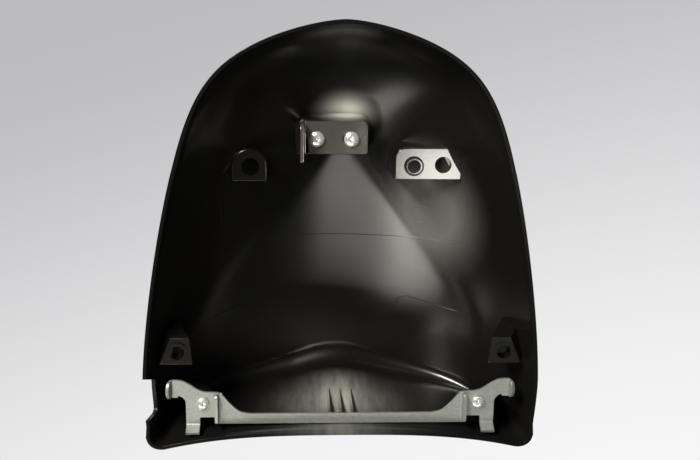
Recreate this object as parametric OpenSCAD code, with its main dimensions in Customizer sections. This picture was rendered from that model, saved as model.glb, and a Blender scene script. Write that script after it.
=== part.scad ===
// Motorbike seat cowl: a moulded hump with a stamped stay across its front and a latch plate at its rear.
// It stands on its rim, as fitted: +Z is up, the tail points to +Y and the backrest wall to -Y.
// The origin is the middle of its outline, on the plane of the rim.

/* [Outline] */
// Length from the tail to the front corners
overall_l = 321.6; // [300:1:345]
// Width that the two side curves tend to at their widest
side_w = 300; // [270:1:320]
// Distance from the tail at which the sides are widest
widest_at = 269.2; // [255:0.2:285]
// How much narrower than that the sides would be at the tail, each side
side_closing = 44.4; // [30:0.2:52]
// Spread of the round tail: the half width at 1 mm from its tip
nose_spread = 11.4; // [9:0.1:14]
// Distance between the outer faces of the two front corners
corner_w = 295; // [280:1:310]
// Radius of the front corners, seen from above
corner_r = 15; // [8:0.5:22]
// How far the front edge is set back at its middle from the line of its two sides
front_bow = 14.4; // [6:0.2:20]

/* [Crown] */
// Height of the crest over the rim
crest_h = 116; // [100:1:130]
// Distance from the front edge back to the crest, on the centre line
crest_back = 45; // [36:1:55]
// How much nearer the front the crest line lies at the sides
crest_bow = 28; // [10:1:36]
// Fullness of the crown across the tail
tail_dome = 3; // [2.2:0.1:3.6]
// Fullness of the crown across the crest
crest_dome = 1.85; // [1.6:0.05:2.4]
// Wall of the moulding
wall = 2.8; // [2:0.1:3.4]

/* [Shelves] */
// Thickness of the shelf faces
shelf_t = 2.8; // [2:0.1:3.6]
// Side walls of the shelves
shelf_wall = 2.6; // [2:0.1:3.4]
// Draft angle of the shelf walls
draft = 4.5; // [1:0.5:7]
// Height of the single and the twin shelf over the rim
shelf_z = 40; // [34:0.5:46]
// Sideways place of the single shelf
single_x = 69.4; // [64:0.5:76]
// Width of the single shelf
single_w = 26; // [22:0.5:30]
// Front edge of the single shelf
single_y = 38.4; // [34:0.5:42]
// Length of the single shelf
single_l = 24.6; // [22:0.2:30]
// Diameter of the hole in the single shelf
single_hole_d = 13.2; // [10:0.2:15]
// Sideways place of the twin shelf
twin_x = -64.4; // [-70:0.5:-60]
// Width of the twin shelf
twin_w = 50.4; // [48:0.5:56]
// Front edge of the twin shelf
twin_y = 40; // [36:0.5:44]
// Length of the twin shelf
twin_l = 24.6; // [23:0.2:30]
// Rear corner radius of the twin shelf
twin_r = 8.4; // [5:0.2:11]
// Diameter of the collared hole in the twin shelf
collar_hole_d = 10.2; // [8:0.2:11]
// Outer diameter of the collar round that hole
collar_d = 14.8; // [13:0.2:16]
// How far the collar stands out of the shelf
collar_h = 1.6; // [0.8:0.2:3]
// Diameter of the plain hole in the twin shelf
plain_hole_d = 12.6; // [10:0.2:14]
// Distance between the two holes of the twin shelf
twin_pitch = 22; // [19:0.5:24]

/* [Latch] */
// Height of the latch shelf over the rim
latch_z = 49; // [46:0.5:54]
// Sideways place of the latch shelf
latch_x = 7.2; // [0:0.2:10]
// Width of the latch shelf
latch_w = 54; // [52:0.5:58]
// Front edge of the latch shelf
latch_y = 57.4; // [54:0.2:60]
// Length of the latch shelf
latch_l = 27; // [26:0.5:31]
// Rear corner radius of the latch shelf
latch_r = 7; // [4:0.5:9]
// Thickness of the latch plate
plate_t = 2.6; // [2:0.1:3]
// Width of the latch plate
plate_w = 50; // [46:0.5:51]
// Length of the latch plate
plate_l = 24.6; // [20:0.2:26]
// How far the bent flange of the latch plate stands down
flange_h = 21; // [14:0.5:26]
// How far the flange reaches forward past the plate
flange_reach = 3.6; // [0:0.2:8]
// Corner radius of the latch plate
plate_r = 3; // [1:0.5:5]
// Distance between the two latch screws
latch_pitch = 26; // [22:0.5:28]
// Sideways travel that the slot gives
slot_travel = 4.6; // [2:0.2:7]

/* [Stay] */
// Height of the stay over the rim
stay_z = 11; // [9:0.5:13]
// Sheet thickness of the stay
stay_t = 2.3; // [1.6:0.1:3]
// Sideways place of the hooked arm's tips
arm_x = 130.3; // [126:0.5:132]
// Sideways place of the stay's screws
stay_screw_x = 105.3; // [102:0.5:108]
// Lengthwise place of the stay's screws
stay_screw_y = -128.1; // [-130:0.5:-126]
// Width of the strap across the front
strap_w = 8.2; // [6:0.2:9]
// Front edge of the strap
strap_y = -144.9; // [-145.2:0.1:-143]
// Length of the bent feet
foot_l = 9.4; // [6:0.2:10]
// Lean of the feet toward the front
foot_lean = 25; // [10:1:30]
// Height of the bent fins
fin_h = 7; // [4:0.2:8]
// Height of the bent ears
ear_h = 7.6; // [5:0.2:9]
// Lean of the ears toward the sides
ear_lean = 16; // [5:1:20]

/* [Fasteners] */
// Thread diameter of every screw
screw_d = 5; // [4:0.5:5]
// Head diameter of the latch screws
latch_head_d = 11.6; // [10:0.2:12.4]
// Head height of the latch screws
latch_head_h = 3.8; // [3:0.1:4.4]
// Head diameter of the stay's screws
stay_head_d = 9.8; // [9:0.2:11]
// Head height of the stay's screws
stay_head_h = 3.3; // [2.6:0.1:4]
// Width of the latch nuts across their flats
nut_af = 8; // [7:0.5:10]
// Height of the latch nuts
nut_h = 4.2; // [3:0.1:5]
// Outer diameter of the brass inserts
insert_d = 7.6; // [6.6:0.2:9]
// Length of the brass inserts
insert_l = 10; // [7:0.5:12]
// Clearance of a screw in its hole, in the diameter
hole_clear = 0.6; // [0.3:0.1:1]

/* [Pads] */
// Height of the two side pads over the rim
pad_z = 14; // [12:0.5:18]
// Sideways place of the pad sockets
pad_x = 123.8; // [121:0.2:126]
// Lengthwise place of the pad sockets
pad_y = -87.8; // [-90:0.2:-84]
// Bore of the pad sockets
socket_d = 11; // [8:0.2:12]
// Outer diameter of the collar round a socket
socket_collar_d = 16; // [14:0.2:18]
// Depth of the pad sockets
socket_l = 7; // [5:0.5:8]

/* [Notch and ribs] */
// Height of the notch in the side wall
notch_h = 18; // [10:0.5:22]
// Front end of the notch
notch_front = -137; // [-140:0.5:-130]
// Length of the notch along the rim
notch_l = 33.5; // [24:0.5:38]
// Thickness of the three ribs behind the strap
rib_t = 1.8; // [1.2:0.1:2.6]
// Height at which the ribs run out in the front wall
rib_top = 62; // [45:1:70]
// Spacing of the three ribs
rib_pitch = 8.8; // [6:0.2:11]

/* [Hidden] */

// Powers that shape the outline and the crown
nose_power = 0.617;
side_power = 1.444;
blend_power = 3.8;
bow_power = 3;
rise_power = 1.6;
brow_end = 82;
station_power = 1.7;
// Stations from the tail to the crest, from the crest to the front edge, and steps across
roof_steps = 26;
brow_steps = 12;
cross_steps = 36;
// How far the steps across crowd toward the sides, where the corners are tight
crowding = 0.75;

edge_straight = corner_w / 2 - corner_r;
edge_run = edge_straight + corner_r * PI / 2;
corner_lift = min([for (u = [0.6:0.005:1]) edge_rise(u)]);
crest_s = overall_l / 2 - front_edge(0).y - crest_back;
head_dome = 0.36;
skirt = 8;
eps = 0.01;

black = "#17171a";
steel = "#b9bdbc";
brass = "#b08d4a";

// Half width of the outline at a distance from the tail
function half_w(s) =
    let (nose = nose_spread * pow(max(s, eps), nose_power),
         side = side_w / 2 - side_closing * pow(abs(widest_at - s) / widest_at, side_power))
    pow(pow(nose, -blend_power) + pow(side, -blend_power), -1 / blend_power);

// Height of the crown over the centre line
function crown(s) = crest_h * sqrt(1 - pow(max(0, 1 - s / crest_s), rise_power));

// Fullness of the section, from the tail's to the crest's
function dome(s) =
    let (t = min(1, s / crest_s))
    tail_dome + (crest_dome - tail_dome) * t * t * (3 - 2 * t);

// A point of the roof: u runs across from -1 to 1, s from the tail to the crest
function roof(u, s) =
    let (bent = s + crest_bow * u * u * pow(s / crest_s, 3))
    [u * half_w(bent), overall_l / 2 - bent, crown(s) * (1 - pow(abs(u), dome(s)))];

// A point of the front edge, evenly spaced along it and round its corners
function edge_turn(u) = max(0, abs(u) * edge_run - edge_straight) / corner_r * 180 / PI;
function edge_x(u) = min(abs(u) * edge_run, edge_straight) + corner_r * sin(edge_turn(u));
function edge_rise(u) =
    front_bow * (1 - pow(2 * edge_x(u) / corner_w, bow_power)) + corner_r * (1 - cos(edge_turn(u)));
function front_edge(u) = [sign(u) * edge_x(u), -overall_l / 2 - corner_lift + edge_rise(u), 0];

// A point of the backrest wall: t runs from the crest to the front edge
function brow(u, t) =
    let (top = roof(u, crest_s), end = front_edge(u), turn = t * brow_end,
         forward = sin(turn) / sin(brow_end),
         left = (cos(turn) - cos(brow_end)) / (1 - cos(brow_end)))
    [top.x + (end.x - top.x) * forward, top.y + (end.y - top.y) * forward, top.z * left];

function skin(u, v) = v <= 1 ? roof(u, crest_s * pow(v, station_power)) : brow(u, v - 1);

// A point of the inner surface, one wall thickness inside the skin
function inside(u, v) =
    let (h = 0.001,
         across = skin(min(1, u + h), v) - skin(max(-1, u - h), v),
         along = skin(u, min(2, v + h)) - skin(u, max(h, v - h)),
         n = cross(across, along),
         out = n.z < 0 ? -n / norm(n) : n / norm(n))
    skin(u, v) - wall * out;

// Rows of points, the faces between them, and a floor round the rim
module loft(inner) {
    rows = concat([for (i = [1:roof_steps]) i / roof_steps], [for (i = [1:brow_steps]) 1 + i / brow_steps]);
    n = cross_steps;
    grid = [for (v = rows) for (j = [0:n])
        let (t = 2 * j / n - 1, u = t * (1 - crowding) + crowding * sin(90 * t))
        inner ? inside(u, v) : skin(u, v)];
    tip = inner ? [0, overall_l / 2 - wall, -wall / 2] : [0, overall_l / 2, 0];
    count = len(grid);
    last = len(rows) - 1;
    function at(i, j) = i * (n + 1) + j;
    rim = concat([count], [for (i = [0:last]) at(i, n)], [for (j = [n - 1:-1:0]) at(last, j)],
                 [for (i = [last - 1:-1:0]) at(i, 0)]);
    all = concat(grid, [tip]);
    floor_points = inner ? [for (k = rim) [all[k].x, all[k].y, -skirt]] : [];
    m = len(rim);
    skin_faces = concat(
        [for (j = [0:n - 1]) [count, at(0, j + 1), at(0, j)]],
        [for (i = [0:last - 1]) for (j = [0:n - 1]) each
            [[at(i, j), at(i, j + 1), at(i + 1, j + 1)], [at(i, j), at(i + 1, j + 1), at(i + 1, j)]]]);
    floor_faces = inner
        ? concat([for (k = [0:m - 1]) each
                     [[rim[k], count + 1 + k, count + 1 + (k + 1) % m], [rim[k], count + 1 + (k + 1) % m, rim[(k + 1) % m]]]],
                 [[for (k = [m - 1:-1:0]) count + 1 + k]])
        : [[for (k = [m - 1:-1:0]) rim[k]]];
    polyhedron(concat(all, floor_points), concat(skin_faces, floor_faces));
}

// Outline of a shelf: straight at its front edge, rounded at its two rear corners
module shelf_outline(w, l, r) {
    translate([-w / 2, 0]) square([w, l - r]);
    translate([-w / 2 + r, 0]) square([w - 2 * r, l]);
    for (side = [-1, 1]) translate([side * (w / 2 - r), l - r]) circle(r, $fn = 24);
}

// A hollow shelf, open at its front, that widens by its draft up to the roof
module shelf(x, y, z, w, l, r) {
    rise = crest_h - z;
    grow = rise * tan(draft);
    inner_w = w - 2 * shelf_wall;
    inner_r = max(1, r - shelf_wall);
    translate([x, y, z]) difference() {
        linear_extrude(rise, scale = [(w + 2 * grow) / w, (l + grow) / l], slices = 1)
            shelf_outline(w, l, r);
        translate([0, -1, shelf_t])
            linear_extrude(rise, scale = [(inner_w + 2 * grow) / inner_w, (l + grow) / l], slices = 1)
            shelf_outline(inner_w, l - shelf_wall + 1, inner_r);
    }
}

// A block under the roof with one drafted foot, for a pad or a screw
module block(face, z, shift) {
    hull() {
        translate([0, 0, z]) linear_extrude(eps) polygon(face);
        translate([shift.x, shift.y, z + 45]) linear_extrude(eps) polygon(face);
    }
}

pad_face = [[pad_x - 9.6, pad_y + 11.6], [pad_x + 5.4, pad_y + 11.6], [pad_x + 14, pad_y - 9.8],
            [pad_x - 11.6, pad_y - 9.8]];
boss_face = [[stay_screw_x - 8, stay_screw_y + 9], [stay_screw_x + 8.2, stay_screw_y + 9],
             [stay_screw_x + 8.2, stay_screw_y - 10], [stay_screw_x - 8, stay_screw_y - 10]];

module ribs() {
    for (k = [-1:1]) translate([k * rib_pitch + rib_t / 2, 0, 0]) rotate([90, 0, -90]) linear_extrude(rib_t)
        polygon([[-strap_y + 8, stay_z + stay_t], [-strap_y - strap_w, stay_z + stay_t],
                 [-strap_y - strap_w + 1.6, rib_top], [-strap_y + 8, rib_top]]);
}

module notch() {
    r = 5;
    back = notch_front + notch_l;
    translate([arm_x - 8, 0, 0]) rotate([90, 0, 90]) linear_extrude(40) difference() {
        polygon([[notch_front - 1, -skirt], [back + 3.5, -skirt], [back - 7.5, notch_h], [notch_front, notch_h]]);
        difference() {
            translate([notch_front - 1, notch_h - r]) square([r + 1, r + 1]);
            translate([notch_front + r, notch_h - r]) circle(r, $fn = 32);
        }
    }
}

module hole(x, y, z, d, l) translate([x, y, z]) cylinder(h = l, d = d, $fn = 48);

collar_x = twin_x + twin_pitch / 2 - 0.2;
collar_y = twin_y + 10.6;
single_hole_y = single_y + 11.1;

module cowl_shell() color(black) difference() {
    loft(false);
    difference() {
        loft(true);
        shelf(single_x, single_y, shelf_z, single_w, single_l, single_w / 2 - 0.1);
        shelf(twin_x, twin_y, shelf_z, twin_w, twin_l, twin_r);
        shelf(latch_x, latch_y, latch_z, latch_w, latch_l, latch_r);
        hole(collar_x, collar_y, shelf_z - collar_h, collar_d, collar_h + eps);
        for (side = [-1, 1]) scale([side, 1, 1]) {
            block(pad_face, pad_z, [-12, 9]);
            block(boss_face, stay_z + stay_t, [-4, 12]);
            hole(pad_x, pad_y, pad_z - 1.2, socket_collar_d, 1.2 + eps);
        }
        ribs();
    }
    notch();
    hole(single_x - 0.7, single_hole_y, shelf_z - 1, single_hole_d, shelf_t + 2);
    hole(collar_x, collar_y, shelf_z - collar_h - 1, collar_hole_d, shelf_t + collar_h + 2);
    hole(collar_x - twin_pitch, collar_y + 1, shelf_z - 1, plain_hole_d, shelf_t + 2);
    for (x = latch_screws) hole(x, latch_screw_y, latch_z - 1, screw_d + hole_clear, shelf_t + 2);
    for (side = [-1, 1]) {
        hole(side * pad_x, pad_y, pad_z - 2, socket_d, socket_l + 2);
        hole(side * stay_screw_x, stay_screw_y, stay_z + stay_t - 1, insert_d, insert_l + 3);
    }
}

latch_screw_y = latch_y + 12.4;
latch_screws = [latch_x - 1 + latch_pitch / 2, latch_x - 1 - latch_pitch / 2];
plate_left = latch_x - 0.4 + plate_w / 2;

module catch_bracket() color(steel) {
    bottom = latch_z - plate_t;
    difference() {
        union() {
            translate([plate_left - plate_w, latch_y + 1, bottom]) linear_extrude(plate_t) {
                translate([plate_r, 0]) square([plate_w - plate_r - plate_t, plate_l]);
                translate([0, plate_r]) square([plate_r + eps, plate_l - 2 * plate_r]);
                for (y = [plate_r, plate_l - plate_r]) translate([plate_r, y]) circle(plate_r, $fn = 32);
            }
            translate([plate_left - plate_t, latch_y + 1, bottom]) rotate([-90, 0, 0])
                intersection() {
                    cylinder(h = plate_l, r = plate_t, $fn = 48);
                    translate([0, -plate_t - 1, 0]) cube([plate_t + 1, plate_t + 1, plate_l]);
                }
            translate([plate_left - plate_t, latch_y + 1 - flange_reach, latch_z - flange_h])
                cube([plate_t, plate_l + flange_reach, flange_h - plate_t]);
        }
        hole(latch_screws[0], latch_screw_y, bottom - 1, screw_d + hole_clear, plate_t + 2);
        translate([latch_screws[1], latch_screw_y, bottom - 1]) linear_extrude(plate_t + 2) {
            for (x = [0, slot_travel]) translate([x, 0]) circle(d = screw_d + hole_clear, $fn = 32);
            translate([0, -(screw_d + hole_clear) / 2]) square([slot_travel, screw_d + hole_clear]);
        }
    }
}

// A pan head screw with its head down: the head's flat side is at z
module screw(x, y, z, head_d, head_h, l) color(steel) translate([x, y, z]) {
    r = head_d / 2;
    difference() {
        rotate_extrude($fn = 64) polygon(concat(
            [[0, 0], [r - 0.2, 0], [r, -0.2]],
            [for (a = [0:10:90]) [r * cos(a), -head_h * head_dome - (head_h * (1 - head_dome)) * sin(a)]]));
        for (a = [45, 135]) rotate(a)
            translate([-head_d * 0.24, -0.55, -head_h - 1]) cube([head_d * 0.48, 1.1, 3]);
    }
    translate([0, 0, -eps]) cylinder(h = l + eps, d = screw_d, $fn = 48);
}

module nut(x) color(steel) translate([x, latch_screw_y, latch_z + shelf_t]) difference() {
    cylinder(h = nut_h, d = nut_af / cos(30), $fn = 6);
    translate([0, 0, -1]) cylinder(h = nut_h + 2, d = screw_d + 0.1, $fn = 48);
}

module insert(side) color(brass) translate([side * stay_screw_x, stay_screw_y, stay_z + stay_t]) difference() {
    cylinder(h = insert_l, d = insert_d, $fn = 48);
    translate([0, 0, -1]) cylinder(h = insert_l + 2, d = screw_d + 0.1, $fn = 48);
}

// Half of the stay, flat: the strap, its gusset, the fin root, the leg and the hooked arm
module stay_blank() {
    back = strap_y + strap_w;
    polygon(concat(
        [[0, strap_y], [95.7, strap_y], [95.7, -139.4], [107.4, -139.4], [107.4, -144.2], [118, -144.2], [118, -131]],
        [for (a = [180:-15:90]) [124.4 + 6.4 * cos(a), -128 + 6.4 * sin(a)]],
        [[arm_x, -121.4], [arm_x, -109.3], [121.5, -109.3], [114.2, -112.9], [106.5, -118.1], [100.5, -119.3],
         [92.2, -119.3], [85.6, -127]],
        [for (a = [-45:-15:-90]) [70 + 13.5 * cos(a) * 1.1, back + 13.5 + 13.5 * sin(a)]],
        [[0, back]]));
}

module stay_half() {
    difference() {
        translate([0, 0, stay_z]) linear_extrude(stay_t) stay_blank();
        hole(stay_screw_x, stay_screw_y, stay_z - 1, screw_d + hole_clear, stay_t + 2);
    }
    // the foot, bent down at the end of the leg
    translate([107.4, -144.2 + stay_t, stay_z + stay_t]) rotate([180 - foot_lean, 0, 0])
        translate([0, 0, stay_t * tan(foot_lean)]) cube([10.6, stay_t, foot_l]);
    // the fin, bent down beside the screw
    translate([95.7 - stay_t, -119.3 - 24, stay_z - fin_h]) cube([stay_t, 24, fin_h + stay_t]);
    // the ear, bent down at the arm's tip
    translate([arm_x - stay_t * cos(ear_lean), -121.4, stay_z + stay_t]) rotate([0, 90 - ear_lean, 0])
        translate([stay_t * tan(ear_lean), 0, 0]) cube([ear_h, 12.1, stay_t]);
}

module front_bracket() color(steel) for (side = [0, 1]) mirror([side, 0, 0]) stay_half();

module catch_screw_left() screw(latch_screws[0], latch_screw_y, latch_z - plate_t, latch_head_d, latch_head_h, 12);
module catch_screw_right() screw(latch_screws[1], latch_screw_y, latch_z - plate_t, latch_head_d, latch_head_h, 12);
module catch_nut_left() nut(latch_screws[0]);
module catch_nut_right() nut(latch_screws[1]);
module bracket_screw_left() screw(stay_screw_x, stay_screw_y, stay_z, stay_head_d, stay_head_h, 11);
module bracket_screw_right() screw(-stay_screw_x, stay_screw_y, stay_z, stay_head_d, stay_head_h, 11);
module bracket_insert_left() insert(1);
module bracket_insert_right() insert(-1);

cowl_shell();
front_bracket();
catch_bracket();
catch_screw_left();
catch_screw_right();
catch_nut_left();
catch_nut_right();
bracket_screw_left();
bracket_screw_right();
bracket_insert_left();
bracket_insert_right();
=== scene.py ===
"""The looks of a glossy black seat cowl, seen from its open side, with its stay, latch plate and screws."""

import math
from functools import partial
from math import cos, pi, radians, sin

import bmesh
import bpy
import numpy as np
from mathutils import Matrix, Vector
from mathutils.bvhtree import BVHTree


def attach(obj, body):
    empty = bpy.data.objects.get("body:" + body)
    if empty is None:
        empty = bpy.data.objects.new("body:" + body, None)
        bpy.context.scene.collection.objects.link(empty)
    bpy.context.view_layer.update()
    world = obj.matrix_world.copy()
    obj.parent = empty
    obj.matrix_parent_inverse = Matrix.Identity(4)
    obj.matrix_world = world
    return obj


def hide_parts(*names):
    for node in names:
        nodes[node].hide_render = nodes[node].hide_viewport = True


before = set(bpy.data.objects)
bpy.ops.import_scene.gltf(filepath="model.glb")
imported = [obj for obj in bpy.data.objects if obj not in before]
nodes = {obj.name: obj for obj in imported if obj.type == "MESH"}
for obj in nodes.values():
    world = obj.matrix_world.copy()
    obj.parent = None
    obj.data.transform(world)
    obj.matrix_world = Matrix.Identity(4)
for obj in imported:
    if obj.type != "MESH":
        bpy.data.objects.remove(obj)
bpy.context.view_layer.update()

# Metres in a millimetre: sizes are in millimetres up to the meshes, and materials and lamps are in metres
MM = 0.001
SQUARE = ((-1, -1), (1, -1), (1, 1), (-1, 1))

# Outline of the moulding, with the powers of its curves
OVERALL_L, SIDE_W, WIDEST_AT, SIDE_CLOSING, NOSE_SPREAD = 321.6, 300.0, 269.2, 44.4, 11.4
CORNER_W, CORNER_R, FRONT_BOW, WALL, RIM_R = 295.0, 15.0, 14.4, 2.8, 0.5
NOSE_POWER, SIDE_POWER, BLEND_POWER, BOW_POWER = 0.617, 1.444, 3.8, 3.0

# Crown: the crest, its rounding, the arch across it and the shoulders that spread like a fan
CREST_H, CREST_BACK, CREST_BOW, CREST_SPREAD, CREST_BOW_POWER = 116.0, 34.0, 26.0, 0.45, 3
CREST_R, CREST_R_SIDE, BROW_POWER, RISE_POWER, ROW_POWER = 22.0, 18.0, 1.5, 1.6, 1.7
TAIL_ARCH, CREST_ARCH, SIDE_FULL = 0.55, 0.36, 8.0
SHOULDER, SHOULDER_SOFT, SHOULDER_FROM, SHOULDER_RUN = 0.45, 0.03, 0.05, 0.35
FAN_FROM, FAN_RATE = 0.325, 1.6

# Shelves
SHELF_T, SHELF_WALL, DRAFT, SHELF_Z, SHELF_EDGE_R = 2.8, 2.6, 4.5, 40.0, 0.9
SINGLE_X, SINGLE_W, SINGLE_Y, SINGLE_L, SINGLE_HOLE = 69.4, 26.0, 38.4, 24.6, 13.2
TWIN_X, TWIN_W, TWIN_Y, TWIN_L, TWIN_R = -64.4, 50.4, 40.0, 24.6, 8.4
COLLAR_HOLE, COLLAR_D, COLLAR_H, PLAIN_HOLE, TWIN_PITCH = 10.2, 14.8, 1.6, 12.6, 22.0
LATCH_Z, LATCH_X, LATCH_W, LATCH_Y, LATCH_L, LATCH_R = 49.0, 7.2, 54.0, 57.4, 27.0, 7.0

# Latch plate
PLATE_T, PLATE_W, PLATE_L, PLATE_R, PLATE_EDGE = 2.6, 50.0, 24.6, 3.0, 0.35
FLANGE_H, FLANGE_REACH, FLANGE_BEND, FLANGE_CORNER = 21.0, 3.6, 4.0, 4.0
LATCH_PITCH, SLOT_TRAVEL = 26.0, 4.6

# Stay
STAY_Z, STAY_T, ARM_X, STAY_SCREW_X, STAY_SCREW_Y = 11.0, 2.3, 130.3, 105.3, -128.1
STRAP_W, STRAP_Y, LEG_IN, LEG_OUT, GAP_Y, FOOT_Y = 8.2, -144.9, 107.4, 118.0, -139.4, -144.2
FOOT_L, FOOT_LEAN, FOOT_R, HOOK_R, HOOK_Y = 7.9, 25.0, 2.2, 6.4, -128.0
EAR_H, EAR_LEAN, EAR_R, EAR_Y, EAR_W, EAR_END_R = 6.4, 16.0, 2.0, -116.4, 13.6, 5.0
FIN_H, FIN_LEAN, FIN_R, FIN_X, FIN_Y, FIN_L, FIN_END_R = 5.8, 4.0, 1.6, 95.7, -131.6, 23.4, 3.0

# Screws and the holes for them
SCREW_D, LATCH_HEAD_D, LATCH_HEAD_H, STAY_HEAD_D, STAY_HEAD_H = 5.0, 11.6, 3.8, 9.8, 3.3
LATCH_SCREW_L, STAY_SCREW_L, THREAD_PITCH, THREAD_DEPTH = 12.0, 11.0, 0.8, 0.35
INSERT_D, INSERT_L, HOLE_CLEAR = 7.6, 10.0, 0.6

# Pads and screw bosses by the front corners: their faces round their centres, and the lean of their sides
PAD_Z, PAD_X, PAD_Y, SOCKET_D, SOCKET_COLLAR_D, SOCKET_L = 14.0, 123.8, -87.8, 11.0, 16.0, 7.0
PAD_OUTLINE, PAD_LEAN = ((-11.6, -9.8), (14.0, -9.8), (5.4, 11.6), (-9.6, 11.6)), (20.2, 9.0)
BOSS_OUTLINE, BOSS_LEAN = ((-8.0, -10.0), (8.2, -10.0), (8.2, 9.0), (-8.0, 9.0)), (13.5, -9.0)
BLOCK_R, BLOCK_H, BLOCK_EDGE_R = 1.0, 45.0, 0.8

# Notch in the rim and ribs of the front wall
NOTCH_H, NOTCH_FRONT, NOTCH_L, NOTCH_R = 18.0, -137.0, 33.5, 5.0
RIB_T, RIB_TOP, RIB_PITCH, RIB_LEAN = 1.8, 62.0, 8.8, 1.6

# Places that follow from the sizes
COLLAR_X, COLLAR_Y = TWIN_X + TWIN_PITCH / 2 - 0.2, TWIN_Y + 10.6
SINGLE_HOLE_X, SINGLE_HOLE_Y = SINGLE_X - 0.7, SINGLE_Y + 11.1
PLAIN_X, PLAIN_Y = COLLAR_X - TWIN_PITCH, COLLAR_Y + 1
LATCH_SCREW_Y = LATCH_Y + 12.4
LATCH_SCREWS = (LATCH_X - 1 + LATCH_PITCH / 2, LATCH_X - 1 - LATCH_PITCH / 2)
PLATE_LEFT = LATCH_X - 0.4 + PLATE_W / 2
BOSS_Z = STAY_Z + STAY_T
SCREW_HOLE = SCREW_D + HOLE_CLEAR

# Rows and columns of the grid of the skins
ROWS_ROOF, ROWS_BROW, COLS = 96, 56, 176

# The moulding's surface. Across it u runs from -1 to 1. Along it s runs in millimetres from the tail to the
# crest, and v runs from 0 at the tail to 1 at the crest and 2 at the front edge.
EDGE_STRAIGHT = CORNER_W / 2 - CORNER_R
EDGE_RUN = EDGE_STRAIGHT + CORNER_R * pi / 2


def half_w(s):
    """Half the width of the rim at s."""
    nose = NOSE_SPREAD * np.maximum(s, 0.01) ** NOSE_POWER
    side = SIDE_W / 2 - SIDE_CLOSING * (np.abs(WIDEST_AT - s) / WIDEST_AT) ** SIDE_POWER
    return (nose ** -BLEND_POWER + side ** -BLEND_POWER) ** (-1 / BLEND_POWER)


def edge_parts(u):
    """The front edge at u: its distance from the middle, and how far it is set back."""
    turn = np.maximum(0, np.abs(u) * EDGE_RUN - EDGE_STRAIGHT) / CORNER_R
    x = np.minimum(np.abs(u) * EDGE_RUN, EDGE_STRAIGHT) + CORNER_R * np.sin(turn)
    rise = FRONT_BOW * (1 - (2 * x / CORNER_W) ** BOW_POWER) + CORNER_R * (1 - np.cos(turn))
    return x, rise


CORNER_LIFT = float(np.min(edge_parts(np.linspace(0.6, 1, 81))[1]))
CREST_S = OVERALL_L / 2 - (-OVERALL_L / 2 - CORNER_LIFT + FRONT_BOW) - CREST_BACK


def section(u, t):
    """Height of the cross section: an arched top, shoulders that spread like a fan, and full sides."""
    arch = TAIL_ARCH + (CREST_ARCH - TAIL_ARCH) * t
    ease = np.clip((t - SHOULDER_FROM) / SHOULDER_RUN, 0, 1)
    drop = SHOULDER * ease * ease * (3 - 2 * ease)
    start = np.maximum(0, FAN_RATE * (t - FAN_FROM))

    def bend(x):
        return SHOULDER_SOFT * np.log1p(np.exp(np.clip((x - start) / SHOULDER_SOFT, -30, 30)))

    fall = drop * (bend(u) - bend(0 * u))
    total = drop * (bend(1 + 0 * u) - bend(0 * u))
    return 1 - arch * u * u - fall - (1 - arch - total) * u ** SIDE_FULL


def roof(u, s):
    """A point of the outer skin between the tail and the crest."""
    t = np.minimum(1, s / CREST_S)
    crown = CREST_H * np.sqrt(1 - np.maximum(0, 1 - s / CREST_S) ** RISE_POWER)
    bow = CREST_BOW * (1 + CREST_SPREAD ** 2) * u * u / (u * u + CREST_SPREAD ** 2)
    bent = s + bow * (s / CREST_S) ** CREST_BOW_POWER
    return np.stack([u * half_w(bent), OVERALL_L / 2 - bent, crown * section(np.abs(u), t)], -1)


def brow(u, t):
    """The wall in front of the crest: a rounded crest, then a straight drop to the front edge."""
    top = roof(u, CREST_S + 0 * u)
    x, rise = edge_parts(u)
    end_y = -OVERALL_L / 2 - CORNER_LIFT + rise
    deep, high = top[..., 1] - end_y, top[..., 2]
    wanted = CREST_R_SIDE + (CREST_R - CREST_R_SIDE) * (1 - u * u)
    r = np.maximum(np.minimum(wanted, np.minimum(0.8 * deep, 0.45 * high)), 0.01)
    turn = np.arctan2(high - r, deep) + np.arcsin(r / np.hypot(deep, high - r))
    straight = np.hypot(deep - r * np.sin(turn), high - r + r * np.cos(turn))
    path = t ** BROW_POWER * (r * turn + straight)
    angle, along = np.minimum(path / r, turn), np.maximum(0, path - r * turn) / straight
    y, z = r * np.sin(angle), high - r + r * np.cos(angle)
    y, z = y + (deep - y) * along, z * (1 - along)
    return np.stack([top[..., 0] + (np.sign(u) * x - top[..., 0]) * y / deep, top[..., 1] - y, z], -1)


def skin(u, v):
    """A point of the outer skin."""
    u, v = np.broadcast_arrays(np.asarray(u, float), np.asarray(v, float))
    behind = roof(u, CREST_S * np.clip(v, 0, 1) ** ROW_POWER)
    before = brow(u, np.clip(v - 1, 0, 1))
    return np.where((v <= 1)[..., None], behind, before)


def offset_skin(u, v, depth):
    """A point depth millimetres inside the skin."""
    step = 1e-3
    u, v = np.broadcast_arrays(np.asarray(u, float), np.asarray(v, float))
    across = skin(np.minimum(1, u + step), v) - skin(np.maximum(-1, u - step), v)
    along = skin(u, np.minimum(2, v + step)) - skin(u, np.maximum(step, v - step))
    normal = np.cross(across, along)
    normal /= np.maximum(np.linalg.norm(normal, axis=-1, keepdims=True), 1e-12)
    normal = np.where(normal[..., 2:] < 0, -normal, normal)
    return skin(u, v) - depth * normal


def grid_params():
    """The v of the rows and the u of the columns, which lie closer at the sides."""
    behind = np.arange(1, ROWS_ROOF + 1) / ROWS_ROOF
    before = 1 + np.arange(1, ROWS_BROW + 1) / ROWS_BROW
    t = np.linspace(-1, 1, COLS + 1)
    return np.concatenate([behind, before]), 0.5 * t + 0.5 * np.sin(t * pi / 2)


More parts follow.
